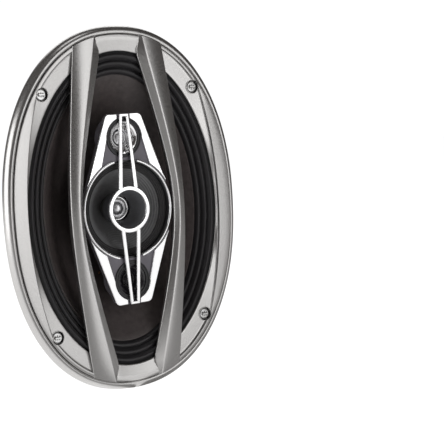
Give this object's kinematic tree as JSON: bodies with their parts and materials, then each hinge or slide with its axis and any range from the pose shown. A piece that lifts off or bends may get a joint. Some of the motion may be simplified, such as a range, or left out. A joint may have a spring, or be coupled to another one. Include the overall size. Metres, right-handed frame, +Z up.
{
  "type": "coaxial car speaker",
  "caption": "Oval four-way coaxial car speaker with a two-spar silver grille, chrome centre module, pressed basket and ferrite motor.",
  "frame": {"origin": "centre of the mounting-screw pattern on the rear face of the basket flange, the plane that seats on the panel", "axes": "+X to the right seen from the front, +Y into the speaker towards the magnet, +Z up along the long axis of the oval"},
  "size_m": [0.1866, 0.0898, 0.258],
  "materials": {
    "silver_paint": "satin metallic silver paint on moulded plastic",
    "zinc_screw": "zinc-plated steel",
    "basket_paint": "black powder coat on pressed steel",
    "gasket": "matt black foam rubber",
    "surround_rubber": "satin black butyl rubber",
    "woofer_cone": "satin black mica-filled cone",
    "former": "bright foil",
    "copper": "enamelled copper wire",
    "spider_cloth": "resin-treated cloth",
    "motor_steel": "black-passivated steel",
    "ferrite": "ground ferrite",
    "housing_plastic": "fine-textured dark plastic",
    "chrome": "bright chrome on plastic",
    "midrange_cone": "satin black cone",
    "horn_plastic": "satin black plastic",
    "dome_film": "metallised film",
    "board": "brown laminate board",
    "tab_brass": "tinned brass",
    "capacitor_sleeve": "shrink sleeve",
    "tinsel": "braided copper tinsel"
  },
  "bodies": {
    "frame": {"basket": "basket_paint", "blade_lower_left": "chrome", "blade_lower_right": "chrome", "blade_upper_left": "chrome", "blade_upper_right": "chrome", "centre_post": "motor_steel", "crossover_capacitor": "capacitor_sleeve", "front_gasket": "gasket", "grille_frame": "silver_paint", "ladder": "chrome", "lower_tweeter_dish": "horn_plastic", "lower_tweeter_element": "horn_plastic", "lower_tweeter_ring": "housing_plastic", "magnet": "ferrite", "midrange_frame": "housing_plastic", "midrange_motor": "motor_steel", "midrange_ring_left": "chrome", "midrange_ring_right": "chrome", "midrange_surround": "surround_rubber", "module_housing": "housing_plastic", "mounting_screws": "zinc_screw", "post_nut": "zinc_screw", "spar_left": "silver_paint", "spar_right": "silver_paint", "spider": "spider_cloth", "terminal_board": "board", "terminal_negative": "tab_brass", "terminal_positive": "tab_brass", "terminal_rivet": "zinc_screw", "tinsel_leads": "tinsel", "top_plate": "motor_steel", "trim_ring": "silver_paint", "tweeter_horn": "horn_plastic", "tweeter_motor": "motor_steel", "tweeter_ring": "chrome", "upper_tweeter_dish": "chrome", "upper_tweeter_element": "horn_plastic", "upper_tweeter_ring": "housing_plastic", "woofer_surround": "surround_rubber", "yoke": "motor_steel"},
    "woofer": {"woofer_cone": "woofer_cone", "voice_coil_former": "former", "voice_coil_winding": "copper"},
    "midrange": {"midrange_cone": "midrange_cone", "midrange_former": "former"},
    "tweeter": {"tweeter_dome": "dome_film"},
    "upper_tweeter": {"upper_tweeter_dome": "dome_film"},
    "lower_tweeter": {"lower_tweeter_dome": "horn_plastic"}
  },
  "joints": [
    {"name": "woofer_excursion", "type": "slide", "parent": "frame", "child": "woofer", "axis": [0, -1, 0], "range_m": [-0.004, 0.004], "stiffness_N_per_m": 2000, "deforming": ["woofer_surround", "spider", "tinsel_leads"]},
    {"name": "midrange_excursion", "type": "slide", "parent": "frame", "child": "midrange", "axis": [0, -1, 0], "range_m": [-0.0008, 0.0008], "stiffness_N_per_m": 150, "deforming": ["midrange_surround"]},
    {"name": "tweeter_excursion", "type": "slide", "parent": "frame", "child": "tweeter", "axis": [0, -1, 0], "range_m": [-0.0002, 0.0002], "stiffness_N_per_m": 4},
    {"name": "upper_tweeter_excursion", "type": "slide", "parent": "frame", "child": "upper_tweeter", "axis": [0, -1, 0], "range_m": [-0.0002, 0.0002], "stiffness_N_per_m": 1.5},
    {"name": "lower_tweeter_excursion", "type": "slide", "parent": "frame", "child": "lower_tweeter", "axis": [0, -1, 0], "range_m": [-0.0002, 0.0002], "stiffness_N_per_m": 1.5}
  ]
}
